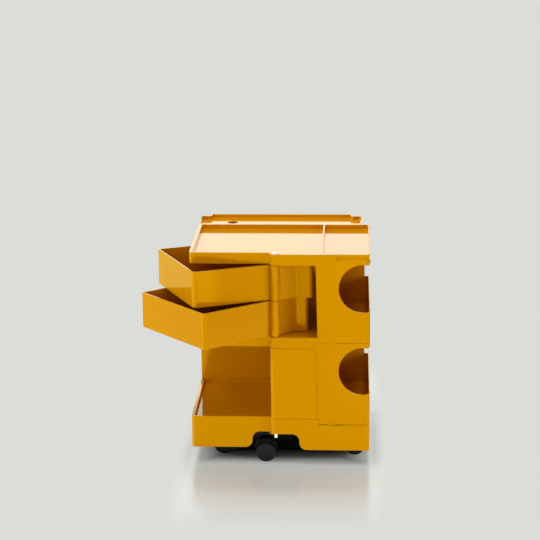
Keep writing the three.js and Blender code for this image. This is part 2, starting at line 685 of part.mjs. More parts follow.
// A turned solid: profile points are [radius, height]
function turned(profile, steps) {
  const points = profile.map(([radius, height]) => new THREE.Vector2(radius, height));
  return new THREE.LatheGeometry(points, steps).rotateX(Math.PI / 2);
}

function makeWasher(radius, bore, z0, z1) {
  return turned([[bore, z0], [radius, z0], [radius, z1], [bore, z1], [bore, z0]], SMALL_STEPS);
}

function makeRod() {
  const top = TOP_RIM - ROD_TOP_DEPTH;
  return turned([
    [0, ROD_FOOT],
    [ROD_R / 2, ROD_FOOT],
    [ROD_R, ROD_FOOT + ROD_R / 2],
    [ROD_R, top],
    [0, top],
  ], SMALL_STEPS);
}

function makeCap() {
  const low = TOP_RIM - CAP_SEAT;
  return turned([
    [0, low],
    [CAP_R, low],
    [CAP_R, TOP_RIM],
    [CAP_R * CAP_SHOULDER_SHARE, TOP_RIM + CAP_DOME * DOME_SHOULDER_SHARE],
    [CAP_R * CAP_CROWN_SHARE, TOP_RIM + CAP_DOME],
    [0, TOP_RIM + CAP_DOME],
  ], ROUND_STEPS);
}

// One wheel, drawn with its axis along z and its inner face at z = 0
function makeWheel() {
  const bore = AXLE_R + WHEEL_FIT;
  const shoulder = WHEEL_EDGE * (1 - Math.SQRT1_2);
  const dishR = WHEEL_R - WHEEL_RIM;
  const face = WHEEL_WIDTH - WHEEL_DISH;
  return turned([
    [0, face - HUB_CAP],
    [bore, face - HUB_CAP],
    [bore, 0],
    [WHEEL_R - WHEEL_BEVEL, 0],
    [WHEEL_R, WHEEL_BEVEL],
    [WHEEL_R, WHEEL_WIDTH - WHEEL_EDGE],
    [WHEEL_R - shoulder, WHEEL_WIDTH - shoulder],
    [WHEEL_R - WHEEL_EDGE, WHEEL_WIDTH],
    [dishR, WHEEL_WIDTH],
    [dishR - WHEEL_DISH, face],
    [0, face],
  ], WHEEL_STEPS);
}

// Web between the wheels, domed hood over them and the boss round the stem, wheels trailing along +x
function makeHood() {
  const guardR = WHEEL_R + HOOD_GAP;
  const outerR = guardR + HOOD;
  const halfWidth = WEB / 2 + WHEEL_GAP + WHEEL_WIDTH - HOOD_SETBACK;
  const disc = (radius, half, rise = radius) => {
    const cylinder = new THREE.CylinderGeometry(radius, radius, 2 * half, WHEEL_STEPS);
    return solidOf(cylinder.scale(1, 1, rise / radius).translate(TRAIL, 0, WHEEL_R));
  };
  const dome = disc(outerR, halfWidth, HOOD_TOP - WHEEL_R);
  const ring = cut(dome, disc(guardR, halfWidth + OVERRUN));
  const guardFoot = WHEEL_R * GUARD_FOOT_SHARE;
  const over = block(TRAIL - outerR, TRAIL + outerR, -WHEEL_R, WHEEL_R, guardFoot, HOOD_TOP);
  const webFoot = WHEEL_R * WEB_FOOT_SHARE;
  const webSpace = block(-outerR, TRAIL + outerR, -WHEEL_R, WHEEL_R, webFoot, HOOD_TOP);
  const web = disc(guardR, WEB / 2).intersect(webSpace);
  const boss = post(0, 0, HOOD_BOSS_R, HOOD_TOP - STEM_SEAT, HOOD_TOP, SMALL_STEPS);
  const clearWheels = disc(guardR, halfWidth + OVERRUN);
  const webSlot = block(-outerR, TRAIL + outerR, -WEB / 2, WEB / 2, 0, HOOD_TOP);
  const bossOutside = boss.subtract(clearWheels.subtract(webSlot));
  const holeFoot = HOOD_TOP - STEM_SEAT + WALL;
  const stemHole = post(0, 0, STEM_R + FIT, holeFoot, HOOD_TOP + OVERRUN, SMALL_STEPS);
  const axle = new THREE.CylinderGeometry(AXLE_R + AXLE_FIT, AXLE_R + AXLE_FIT, WHEEL_R, SMALL_STEPS);
  const axleHole = solidOf(axle.translate(TRAIL, 0, WHEEL_R));
  return cut(union(ring.intersect(over), web, bossOutside), stemHole, axleHole);
}

// Stem from its seat in the hood up into the socket
function makeStem() {
  const foot = HOOD_TOP - STEM_SEAT + WALL + FIT;
  const collar = HOOD_TOP + FIT;
  return turned([
    [0, foot],
    [STEM_R, foot],
    [STEM_R, collar],
    [STEM_COLLAR_R, collar],
    [STEM_COLLAR_R, collar + STEM_COLLAR],
    [STEM_R, collar + STEM_COLLAR],
    [STEM_R, STEM_TOP],
    [0, STEM_TOP],
  ], SMALL_STEPS);
}

// Bush in the base's boss, with a flange under it
function makeSocket() {
  const bore = STEM_R + FIT;
  const flangeTop = FLOOR_UNDERSIDE - BOSS_DROP - FIT;
  return turned([
    [bore, flangeTop - SOCKET_FLANGE],
    [SOCKET_FLANGE_R, flangeTop - SOCKET_FLANGE],
    [SOCKET_FLANGE_R, flangeTop],
    [SOCKET_R, flangeTop],
    [SOCKET_R, FLOOR_UNDERSIDE - WALL],
    [bore, FLOOR_UNDERSIDE - WALL],
    [bore, flangeTop - SOCKET_FLANGE],
  ], SMALL_STEPS);
}

function makeAxle() {
  const half = WEB / 2 + WHEEL_GAP + WHEEL_WIDTH - WHEEL_DISH - AXLE_SHORT;
  const cylinder = new THREE.CylinderGeometry(AXLE_R, AXLE_R, 2 * half, SMALL_STEPS);
  return cylinder.translate(TRAIL, 0, WHEEL_R);
}

function named(name, shape, finish) {
  const geometry = shape.isBufferGeometry ? shape : geometryOf(shape);
  const mesh = new THREE.Mesh(geometry, new THREE.MeshStandardMaterial(finish));
  mesh.name = name;
  return mesh;
}

// All the pieces of one castor, turned so that its wheels trail the given way
function makeCastor(name, x, y, degrees) {
  const castor = new THREE.Group();
  castor.position.set(x, y, 0);
  castor.rotation.z = THREE.MathUtils.degToRad(degrees);
  castor.add(named(`${name}_castor_hood`, makeHood(), black));
  castor.add(named(`${name}_castor_stem`, makeStem(), black));
  castor.add(named(`${name}_castor_socket`, makeSocket(), black));
  castor.add(named(`${name}_castor_axle`, makeAxle(), steel));
  for (const [side, sign] of [["a", 1], ["b", -1]]) {
    const wheel = named(`${name}_castor_wheel_${side}`, makeWheel(), darkGrey);
    wheel.rotation.x = -sign * Math.PI / 2;
    wheel.position.set(TRAIL, sign * (WEB / 2 + WHEEL_GAP), WHEEL_R);
    castor.add(wheel);
  }
  return castor;
}

// A drawer on the rod, swung open by the angle
function hang(name, z, angle) {
  const drawer = named(name, makeDrawer(), yellow);
  drawer.position.set(PIVOT_X, PIVOT_Y, z);
  drawer.rotation.z = angle;
  return drawer;
}

function washerOnRod(name, z0, z1) {
  const washer = named(name, makeWasher(WASHER_R, ROD_R + ROD_FIT, z0 + FIT, z1 - FIT), yellow);
  washer.position.set(PIVOT_X, PIVOT_Y, 0);
  return washer;
}

const trolley = new THREE.Group();
trolley.add(named("base", makeBase(), yellow));
trolley.add(named("module_lower", makeLowerModule(), yellow));
trolley.add(named("module_upper", makeUpperModule(), yellow));
trolley.add(named("infill_panel", makePanel(), yellow));
trolley.add(hang("drawer_lower", LOWER_DRAWER_Z, LOWER_ANGLE));
trolley.add(hang("drawer_upper", UPPER_DRAWER_Z, UPPER_ANGLE));

const rod = named("pivot_rod", makeRod(), steel);
const cap = named("rod_cap", makeCap(), steel);
const retainerTop = BOSS_FOOT - FIT;
const retainerShape = makeWasher(RETAINER_R, ROD_R + FIT, retainerTop - RETAINER, retainerTop);
const retainer = named("rod_retainer", retainerShape, black);
for (const piece of [rod, cap, retainer]) {
  piece.position.set(PIVOT_X, PIVOT_Y, 0);
  trolley.add(piece);
}

const barrelTop = DRAWER_HEIGHT - BARREL_RECESS;
trolley.add(washerOnRod("washer_bottom", DECK, LOWER_DRAWER_Z + BARREL_RECESS));
trolley.add(washerOnRod("washer_middle", LOWER_DRAWER_Z + barrelTop, UPPER_DRAWER_Z + BARREL_RECESS));
trolley.add(washerOnRod("washer_top", UPPER_DRAWER_Z + barrelTop, TOP_RIM - SKIRT_DROP));

for (const [name, [x, y, degrees]] of Object.entries(castors)) {
  trolley.add(makeCastor(name, x, y, degrees));
}

// The origin is under the middle of the whole, drawers as they stand
const box = new THREE.Box3().setFromObject(trolley, true);
const centre = box.getCenter(new THREE.Vector3());
trolley.position.set(-centre.x, -centre.y, -box.min.z);

export default trolley;
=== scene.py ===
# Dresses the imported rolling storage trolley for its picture: rounded moulding edges, glossy amber
# plastic, black castors with detailed wheels, bright steel rod, pale floor and soft light.
# Metres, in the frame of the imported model. Places on the trolley start from its pieces' boxes.
import json
import math

import bmesh
import bpy
from mathutils import Matrix, Vector


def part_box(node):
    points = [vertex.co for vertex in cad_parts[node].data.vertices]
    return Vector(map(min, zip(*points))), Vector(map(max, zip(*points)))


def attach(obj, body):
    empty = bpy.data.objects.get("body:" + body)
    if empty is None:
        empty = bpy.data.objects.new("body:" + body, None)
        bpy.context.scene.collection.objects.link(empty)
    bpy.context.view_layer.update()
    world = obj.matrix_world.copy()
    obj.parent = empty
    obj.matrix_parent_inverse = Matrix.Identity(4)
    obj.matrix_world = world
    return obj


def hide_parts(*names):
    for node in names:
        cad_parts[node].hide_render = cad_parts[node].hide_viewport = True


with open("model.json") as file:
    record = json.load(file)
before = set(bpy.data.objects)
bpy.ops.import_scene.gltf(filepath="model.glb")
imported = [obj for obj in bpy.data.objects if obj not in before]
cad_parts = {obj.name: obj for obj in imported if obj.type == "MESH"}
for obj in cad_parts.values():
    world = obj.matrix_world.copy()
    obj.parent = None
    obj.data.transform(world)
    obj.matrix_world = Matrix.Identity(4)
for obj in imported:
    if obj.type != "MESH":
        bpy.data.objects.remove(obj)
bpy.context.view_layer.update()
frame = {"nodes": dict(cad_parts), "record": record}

nodes = frame["nodes"]

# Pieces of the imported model
SHELL_NODES = ("base", "module_lower", "module_upper", "infill_panel", "drawer_lower", "drawer_upper")
WASHERS = ("washer_bottom", "washer_middle", "washer_top")
CASTORS = ("front", "front_left", "front_right", "rear_left", "rear_right")

# Rounded edges
EDGE_ROUND = 0.0007
SMALL_ROUND = 0.0005
SHARP_EDGE = math.radians(40)
WELD_DISTANCE = 0.00001
EDGE_STEPS = 2
CREASE = math.radians(35)  # a turned or bevelled piece looks sharp where it bends more than this

# Wheels, in millimetres
MM = 0.001
WHEEL_STEPS = 64
WHEEL_R = 24.0
WHEEL_WIDTH = 11.5
BORE_R = 3.1
BORE_DEPTH = WHEEL_WIDTH - 3.6
INNER_RECESS = (8.0, 20.2, 0.5)  # from radius, to radius, depth
TREAD_STARTS = (3.2, 6.0)  # where each groove of the tread begins
GROOVE_DEPTH = 0.45
GROOVE_WIDTH = 0.9
GROOVE_SLOPE = 0.25
SHOULDER = 3.0
SHOULDER_STEPS = 6
FACE_RADII = (20.6, 20.2, 19.4, 18.9, 8.4, 8.0, 7.6, 6.9, 3.4, 3.0, 0)
FACE_DEPTHS = (0, 0.2, 1.3, 1.5, 1.5, 1.3, 0.7, 0.5, 0.5, 0.8, 0.8)

# What lies under the base's floor, dressed black as painted shade: heights above the ground, the rest from
# the base's box
UNDERSIDE_TOP = 0.1052
RIB_FOOT = 0.082  # lower down, only faces that look inward get the painted black shade
SKIRT_THICK = 0.004
FRONT_STEP = 0.0195
STEP_FROM_LEFT = 0.1925
STEP_ROUND = 0.013
SIDE_MARGIN = 0.03  # how far the narrower rear of the base stands in from its widest place
FACES_OUT = 0.7  # least share of a face's normal that points out of the box
FACES_IN = 0.6  # and that points to the middle

# Bars that close gaps, in millimetres from a corner of the box of the piece that carries them
BAR_STEPS = 3
BAY_RIM_ACROSS = (0.1, 8.9)
BAY_RIM_ALONG = (34, 326)
BAY_RIM_HEIGHTS = (107.6, 116.05)  # above the ground
BAY_RIM_ROUND = 0.5
STRIP_LIP_THICK = 20.0
STRIP_STANDS_IN = 21.5
DRAIN_FROM_END = 8.8
DRAIN_WIDTH = 8.9
WEB_THICK = 1.2
WEB_HEIGHTS = (519.3, 524.3)  # above the ground
WEB_ROUND = 0.3

# Camera, from the photograph's own perspective
CAMERA_SPOT = (0.245, -4.4248, 1.5491)
CAMERA_TURN = math.radians(2.765)
CAMERA_TILT = math.radians(90 - 13.98)
CAMERA_ROLL = math.radians(-0.437)
LENS = 124.61

# Colours: main, cloudy and worn or dusty; the amber's lighter edge colour is partly wear, partly a painted
# highlight
AMBER = (0.575, 0.222, 0.0)
AMBER_CLOUD = (0.560, 0.214, 0.0)
AMBER_FLOW = (0.598, 0.239, 0.0)
# lighter amber for edges: partly rubbed wear, partly a painted highlight along the rims
AMBER_RUBBED_AND_SHEEN = (0.80, 0.42, 0.02)
AMBER_GLOSS = (1.0, 0.55, 0.0)
HOOD_BLACK = (0.003, 0.0033, 0.0055)
HOOD_CLOUD = (0.0055, 0.0058, 0.0085)
HOOD_WORN = (0.06, 0.058, 0.055)
WHEEL_BLACK = (0.007, 0.007, 0.0145)
WHEEL_DUST = (0.014, 0.014, 0.0225)
WHEEL_WORN = (0.08, 0.075, 0.07)
STEEL = (0.60, 0.61, 0.93)
TARNISH = (0.52, 0.53, 0.82)
FLOOR_PALE = (0.54, 0.540, 0.520)
FLOOR_DRIFT = (0.532, 0.532, 0.512)
FLOOR_PAINTED_SHADOW = (0.02, 0.02, 0.021)  # painted shadow, deep under the trolley

# Background
BACKDROP = (0.708, 0.723, 0.687)
MIRRORED = (0.74, 0.76, 0.22)  # what glossy pieces see of the studio: warm, as the plastic shows it
FLOOR_HALF = 6.0
FRONT_LIFT = 4.0  # the floor before the trolley is this much brighter in reflections
SIDE_LIFT = 1.1
RIGHT_SHARE = 0.5  # and on the right this share of it
FADE_SIDE = 0.045  # how far the shadow on the floor reaches beside the trolley, and before it
FADE_FRONT = 0.5
FADE_STARTS = 0.3  # shares of those reaches between which the floor turns into the backdrop
FADE_ENDS = 0.85
MIRROR_STARTS = 0.25  # and from which glossy pieces see it as MIRRORED
SHADOW_LIGHT = 0.4  # painted light: share of the backdrop's glow that the floor keeps in its shadow at the trolley's outline
RIM_DEPTH = 0.06  # how far under the trolley that share reaches
# depths under the trolley over which the floor darkens to its painted shadow
DARK_FROM = 0.03
DARK_AT = 0.11
WORLD_LIGHT = 0.15

# Lamps: name, place, aim, width, height, watts, colour, whether it shows in gloss
WHITE = (1, 1, 1)
MIDDLE = (0, 0, 0.3)
LAMPS = (
    ("overhead", (-0.2, 0.0, 3.0), MIDDLE, 2.4, 2.4, 74, WHITE, True),
    ("front_fill", (-0.6, -3.8, 1.1), MIDDLE, 3.0, 1.6, 33, WHITE, False),
    ("left_fill", (-2.8, 0.1, 0.5), MIDDLE, 1.2, 1.0, 29, (1, 1.14, 1), False),
    ("right_fill", (2.7, -1.3, 0.8), MIDDLE, 1.6, 1.2, 37, WHITE, False),
    ("left_panel", (-3.2, -0.9, 1.2), MIDDLE, 1.6, 1.8, 45, (1, 1.12, 1), True),
    ("rear_panel", (0.1, 3.4, 1.6), (0, 0, 0.5), 3.6, 2.2, 46, (0.95, 1.04, 0.97), True),
    ("edge_strip", (0.62, -1.0, 0.22), (0.05, -0.1, 0.22), 0.1, 0.5, 0.3, WHITE, True),
)


def body_of_node(name):
    for body, members in frame["record"]["behaviour"]["bodies"].items():
        if name in members:
            return body
    raise KeyError(name)


def node_centre(name):
    low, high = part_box(name)
    return (low + high) / 2


# Materials


def new_material(name):
    material = bpy.data.materials.new(name)
    material.use_nodes = True
    tree = material.node_tree
    shader = tree.nodes["Principled BSDF"]
    return material, tree, shader


def add(tree, kind, **values):
    node = tree.nodes.new(kind)
    for key, value in values.items():
        setattr(node, key, value)
    return node


def noise(tree, scale, detail=4.0, roughness=0.5, stretch=(1, 1, 1)):
    place = add(tree, "ShaderNodeTexCoord")
    mapping = add(tree, "ShaderNodeMapping")
    mapping.inputs["Scale"].default_value = stretch
    tree.links.new(place.outputs["Object"], mapping.inputs["Vector"])
    texture = add(tree, "ShaderNodeTexNoise")
    texture.inputs["Scale"].default_value = scale
    texture.inputs["Detail"].default_value = detail
    texture.inputs["Roughness"].default_value = roughness
    tree.links.new(mapping.outputs["Vector"], texture.inputs["Vector"])
    return texture.outputs["Fac"]


def span(tree, value, from_low, from_high, to_low, to_high):
    node = add(tree, "ShaderNodeMapRange")
    sockets = ("From Min", "From Max", "To Min", "To Max")
    for key, number in zip(sockets, (from_low, from_high, to_low, to_high)):
        node.inputs[key].default_value = number
    tree.links.new(value, node.inputs["Value"])
    return node.outputs["Result"]


def math_node(tree, operation, first, second):
    node = add(tree, "ShaderNodeMath", operation=operation)
    for socket, value in zip(node.inputs, (first, second)):
        if isinstance(value, (int, float)):
            socket.default_value = value
        else:
            tree.links.new(value, socket)
    return node.outputs["Value"]


def blend_colour(tree, factor, first, second):
    node = add(tree, "ShaderNodeMix", data_type="RGBA")
    tree.links.new(factor, node.inputs[0])
    for index, colour in ((6, first), (7, second)):
        if isinstance(colour, tuple):
            node.inputs[index].default_value = (*colour, 1)
        else:
            tree.links.new(colour, node.inputs[index])
    return node.outputs[2]


def bump(tree, shader, height, strength, distance, below=None):
    node = add(tree, "ShaderNodeBump")
    node.inputs["Strength"].default_value = strength
    node.inputs["Distance"].default_value = distance
    tree.links.new(height, node.inputs["Height"])
    if below is not None:
        tree.links.new(below, node.inputs["Normal"])
    tree.links.new(node.outputs["Normal"], shader.inputs["Normal"])
    return node.outputs["Normal"]


def edge_mask(tree, radius, low, high):
    """1 on an outer or inner edge of the surface, 0 away from edges."""
    rounded = add(tree, "ShaderNodeBevel", samples=6)
    rounded.inputs["Radius"].default_value = radius
    geometry = add(tree, "ShaderNodeNewGeometry")
    dot = add(tree, "ShaderNodeVectorMath", operation="DOT_PRODUCT")
    tree.links.new(rounded.outputs["Normal"], dot.inputs[0])
    tree.links.new(geometry.outputs["Normal"], dot.inputs[1])
    return span(tree, dot.outputs["Value"], high, low, 0, 1)


def plastic_shell():
    """Glossy amber: reflections are amber seen straight on and white at a glancing angle."""
    material, tree, shader = new_material("amber_moulded_plastic")
    cloud = span(tree, noise(tree, 5.0, 3.0), 0.35, 0.65, 0, 1)
    colour = blend_colour(tree, cloud, AMBER, AMBER_CLOUD)
    flow = span(tree, noise(tree, 16.0, 5.0, 0.6, (0.4, 0.4, 3.0)), 0.4, 0.7, 0, 0.25)
    colour = blend_colour(tree, flow, colour, AMBER_FLOW)
    # edges lighter: partly rubbed wear, partly a painted highlight
    rubbed_and_sheen = math_node(tree, "MULTIPLY", edge_mask(tree, 0.0012, 0.75, 0.985), noise(tree, 60.0, 3.0))
    colour = blend_colour(tree, rubbed_and_sheen, colour, AMBER_RUBBED_AND_SHEEN)
    tree.links.new(colour, shader.inputs["Base Color"])
    smudge = span(tree, noise(tree, 22.0, 6.0, 0.65), 0.35, 0.75, 0.06, 0.11)
    hairline = span(tree, noise(tree, 260.0, 2.0, 0.5, (0.06, 1.0, 1.0)), 0.62, 0.74, 0, 0.04)
    tree.links.new(math_node(tree, "ADD", smudge, hairline), shader.inputs["Roughness"])
    shader.inputs["IOR"].default_value = 1.6
    shader.inputs["Specular Tint"].default_value = (*AMBER_GLOSS, 1)
    wave = bump(tree, shader, noise(tree, 28.0, 2.0), 0.03, 0.0006)
    bump(tree, shader, noise(tree, 1400.0, 2.0), 0.03, 0.00008, wave)
    return material


def black_plastic():
    material, tree, shader = new_material("black_castor_plastic")
    cloud = span(tree, noise(tree, 40.0, 4.0), 0.35, 0.65, 0, 1)
    colour = blend_colour(tree, cloud, HOOD_BLACK, HOOD_CLOUD)
    worn = math_node(tree, "MULTIPLY", edge_mask(tree, 0.0008, 0.75, 0.985), noise(tree, 120.0, 4.0))
    colour = blend_colour(tree, worn, colour, HOOD_WORN)
    tree.links.new(colour, shader.inputs["Base Color"])
    tree.links.new(span(tree, noise(tree, 90.0, 5.0), 0.3, 0.7, 0.38, 0.55), shader.inputs["Roughness"])
    shader.inputs["IOR"].default_value = 1.1
    bump(tree, shader, noise(tree, 1800.0, 2.0), 0.25, 0.00012)
    return material


def wheel_plastic():
    material, tree, shader = new_material("dark_wheel_plastic")
    dust = span(tree, noise(tree, 70.0, 6.0, 0.65), 0.45, 0.75, 0, 1)
    colour = blend_colour(tree, dust, WHEEL_BLACK, WHEEL_DUST)
    worn = math_node(tree, "MULTIPLY", edge_mask(tree, 0.0008, 0.75, 0.985), noise(tree, 150.0, 4.0))
    colour = blend_colour(tree, worn, colour, WHEEL_WORN)
    tree.links.new(colour, shader.inputs["Base Color"])
    tree.links.new(span(tree, dust, 0, 1, 0.42, 0.65), shader.inputs["Roughness"])
    shader.inputs["IOR"].default_value = 1.24
    bump(tree, shader, noise(tree, 1200.0, 4.0), 0.3, 0.00015)
    return material


def bright_steel():
    material, tree, shader = new_material("bright_steel")
    shader.inputs["Metallic"].default_value = 1.0
    tarnish = span(tree, noise(tree, 90.0, 4.0), 0.4, 0.7, 0, 1)
    colour = blend_colour(tree, tarnish, STEEL, TARNISH)
    tree.links.new(colour, shader.inputs["Base Color"])
    drawn = noise(tree, 500.0, 3.0, 0.6, (1, 1, 0.1))
    tree.links.new(span(tree, drawn, 0.3, 0.7, 0.12, 0.26), shader.inputs["Roughness"])
    bump(tree, shader, noise(tree, 2500.0, 2.0, 0.5, (0.15, 0.15, 1)), 0.12, 0.00005)
    return material


def dress(piece, material):
    piece.data.materials.clear()
    piece.data.materials.append(material)


# The imported mouldings: underside painted black as shade, edges rounded


def is_underside(centre, normal, low, high):
    """True for faces of the base that only show from below or through the arch."""
    if centre.z > UNDERSIDE_TOP:
        return False
    right = normal.x > FACES_OUT and centre.x > high.x - SIDE_MARGIN
    left = normal.x < -FACES_OUT and centre.x < low.x + SIDE_MARGIN
    back = normal.y > FACES_OUT and centre.y > high.y - SIDE_MARGIN
    if right or left or back:
        return False
    middle = (low + high) / 2
    inward = (Vector((middle.x, middle.y)) - Vector((centre.x, centre.y))).normalized()
    if normal.x * inward.x + normal.y * inward.y > FACES_IN:
        return True
    front = low.y + (FRONT_STEP if centre.x < low.x + STEP_FROM_LEFT + STEP_ROUND else 0)
    inside_x = low.x + SKIRT_THICK < centre.x < high.x - SKIRT_THICK
    inside = inside_x and front + SKIRT_THICK < centre.y < high.y - SKIRT_THICK
    return inside and centre.z > RIB_FOOT


def paint_underside_shade(base, material):
    """Painted shade: what lies under the base's floor gets black plastic, for the black shade inside the
    arch; the moulding there is amber.
    """
    base.data.materials.append(material)
    low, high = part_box("base")
    place = base.matrix_world
    turn = place.to_3x3()
    for polygon in base.data.polygons:
        if is_underside(place @ polygon.center, turn @ polygon.normal, low, high):
            polygon.material_index = 1


def round_edges(piece, width):
    piece.data.polygons.foreach_set("use_smooth", [True] * len(piece.data.polygons))
    weld = piece.modifiers.new("weld", "WELD")
    weld.merge_threshold = WELD_DISTANCE
    bevel = piece.modifiers.new("edges", "BEVEL")
    bevel.width = width
    bevel.segments = EDGE_STEPS
    bevel.limit_method = "ANGLE"
    bevel.angle_limit = SHARP_EDGE
    bevel.use_clamp_overlap = False
    bevel.miter_outer = "MITER_ARC"
    normals = piece.modifiers.new("normals", "WEIGHTED_NORMAL")
    normals.weight = 100
    normals.keep_sharp = False


# Turned pieces: profile points are (radius, height) in millimetres, turned round an axis


def turned(name, profile, centre, axis, material, body, steps):
    mesh = bpy.data.meshes.new(name)
    shape = bmesh.new()
    rings = []
    for radius, height in profile:
        if radius == 0:
            rings.append([shape.verts.new((0, 0, height * MM))])
            continue
        ring = []
        for step in range(steps):
            angle = 2 * math.pi * step / steps
            spot = (radius * MM * math.cos(angle), radius * MM * math.sin(angle), height * MM)
            ring.append(shape.verts.new(spot))
        rings.append(ring)
    for low, high in zip(rings, rings[1:]):
        for step in range(steps):
            following = (step + 1) % steps
            corners = [low[step % len(low)], low[following % len(low)]]
            corners += [high[following % len(high)], high[step % len(high)]]
            distinct = list(dict.fromkeys(corners))
            if len(distinct) > 2:
                shape.faces.new(distinct)
    bmesh.ops.remove_doubles(shape, verts=shape.verts, dist=0.000001)
    bmesh.ops.recalc_face_normals(shape, faces=shape.faces)
    shape.to_mesh(mesh)
    shape.free()
    piece = bpy.data.objects.new(name, mesh)
    bpy.context.scene.collection.objects.link(piece)
    turn = Vector((0, 0, 1)).rotation_difference(Vector(axis)).to_matrix().to_4x4()
    mesh.transform(Matrix.Translation(centre) @ turn)
    smooth_by_angle(piece)
    dress(piece, material)
    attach(piece, body)
    return piece


def smooth_by_angle(piece):
    piece.data.polygons.foreach_set("use_smooth", [True] * len(piece.data.polygons))
    piece.data.set_sharp_from_angle(angle=CREASE)


# Castors and rod


def wheel_profile():
    """From the inner face outwards: tread with two fine grooves, rounded shoulder, dished face, hub."""
    recess_from, recess_to, recess = INNER_RECESS
    points = [(0, BORE_DEPTH), (BORE_R, BORE_DEPTH), (BORE_R, 0)]
    points += [(recess_from, 0), (recess_from, recess), (recess_to, recess), (recess_to, 0)]
    points += [(WHEEL_R - 1.0, 0), (WHEEL_R - 0.3, 0.3), (WHEEL_R, 1.0)]
    for start in TREAD_STARTS:
        bottom = WHEEL_R - GROOVE_DEPTH
        points += [(WHEEL_R, start), (bottom, start + GROOVE_SLOPE)]
        points += [(bottom, start + GROOVE_WIDTH - GROOVE_SLOPE), (WHEEL_R, start + GROOVE_WIDTH)]
    for step in range(SHOULDER_STEPS + 1):
        angle = math.pi / 2 * step / SHOULDER_STEPS
        radius = WHEEL_R - SHOULDER + SHOULDER * math.cos(angle)
        points.append((radius, WHEEL_WIDTH - SHOULDER + SHOULDER * math.sin(angle)))
    for radius, depth in zip(FACE_RADII, FACE_DEPTHS):
        points.append((radius, WHEEL_WIDTH - depth))
    return points


def dress_castor(name, materials):
    body = body_of_node(f"{name}_castor_hood")
    wheel_body = body_of_node(f"{name}_castor_wheel_a")
    hood = nodes[f"{name}_castor_hood"]
    dress(hood, materials["black"])
    round_edges(hood, SMALL_ROUND)
    axle_centre = node_centre(f"{name}_castor_axle")
    for side in ("a", "b"):
        node = f"{name}_castor_wheel_{side}"
        outward = node_centre(node) - axle_centre
        axis = outward.normalized()
        inner_face = node_centre(node) - axis * WHEEL_WIDTH / 2 * MM
        label = f"{name}_wheel_{side}"
        profile = wheel_profile()
        wheel = turned(label, profile, inner_face, axis, materials["wheel"], wheel_body, WHEEL_STEPS)
        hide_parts(node)
    for piece, finish in (("stem", "black"), ("socket", "black"), ("axle", "steel")):
        node = nodes[f"{name}_castor_{piece}"]
        dress(node, materials[finish])
        round_edges(node, SMALL_ROUND)


def dress_rod(materials):
    for name, finish in (("pivot_rod", "steel"), ("rod_cap", "steel"), ("rod_retainer", "black")):
        dress(nodes[name], materials[finish])
        round_edges(nodes[name], SMALL_ROUND)
    for name in WASHERS:
        dress(nodes[name], materials["shell"])


# Bars that close the groove in the bay's side rim and the strip's two drain slots


def moulded_bar(name, low, high, edge, material, body):
    mesh = bpy.data.meshes.new(name)
    shape = bmesh.new()
    bmesh.ops.create_cube(shape, size=1)
    bmesh.ops.scale(shape, vec=high - low, verts=shape.verts)
    bmesh.ops.translate(shape, vec=(low + high) / 2, verts=shape.verts)
    edges = shape.edges[:]
    bmesh.ops.bevel(shape, geom=edges, offset=edge, segments=BAR_STEPS, profile=0.5, affect="EDGES")
    shape.to_mesh(mesh)
    shape.free()
    piece = bpy.data.objects.new(name, mesh)
    bpy.context.scene.collection.objects.link(piece)
    smooth_by_angle(piece)
    dress(piece, material)
    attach(piece, body)
    return piece


def make_bay_rim(material):
    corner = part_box("base")[0]
    near, far = (
        Vector((corner.x + across * MM, corner.y + along * MM, height * MM))
        for across, along, height in zip(BAY_RIM_ACROSS, BAY_RIM_ALONG, BAY_RIM_HEIGHTS)
    )
    moulded_bar("bay_side_rim", near, far, BAY_RIM_ROUND * MM, material, body_of_node("base"))


def make_drain_webs(material):
    low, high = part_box("module_upper")
    front = high.y - STRIP_LIP_THICK * MM
    right = high.x - STRIP_STANDS_IN * MM
    left_start = low.x + DRAIN_FROM_END * MM
    right_start = right - (DRAIN_FROM_END + DRAIN_WIDTH) * MM
    bottom, top = (height * MM for height in WEB_HEIGHTS)
    for side, start in (("left", left_start), ("right", right_start)):
        near = Vector((start, front, bottom))
        far = Vector((start + DRAIN_WIDTH * MM, front + WEB_THICK * MM, top))
        moulded_bar(f"{side}_drain_web", near, far, WEB_ROUND * MM, material, body_of_node("module_upper"))


# Floor, backdrop, lights and camera


def beyond(tree, value, low, high, reach):
    """How far a coordinate lies outside low to high, in units of reach."""
    under = math_node(tree, "SUBTRACT", low, value)
    over = math_node(tree, "SUBTRACT", value, high)
    outside = math_node(tree, "MAXIMUM", math_node(tree, "MAXIMUM", under, over), 0.0)
    return math_node(tree, "DIVIDE", outside, reach)


def within(tree, parts, low, high):
    """How deep a point of the floor lies under the trolley."""
    depths = []
    for index, axis in enumerate("XY"):
        value = parts.outputs[axis]
        depths.append(math_node(tree, "SUBTRACT", value, low[index]))
        depths.append(math_node(tree, "SUBTRACT", high[index], value))
    first = math_node(tree, "MINIMUM", depths[0], depths[1])
    second = math_node(tree, "MINIMUM", depths[2], depths[3])
    return math_node(tree, "MAXIMUM", math_node(tree, "MINIMUM", first, second), 0.0)


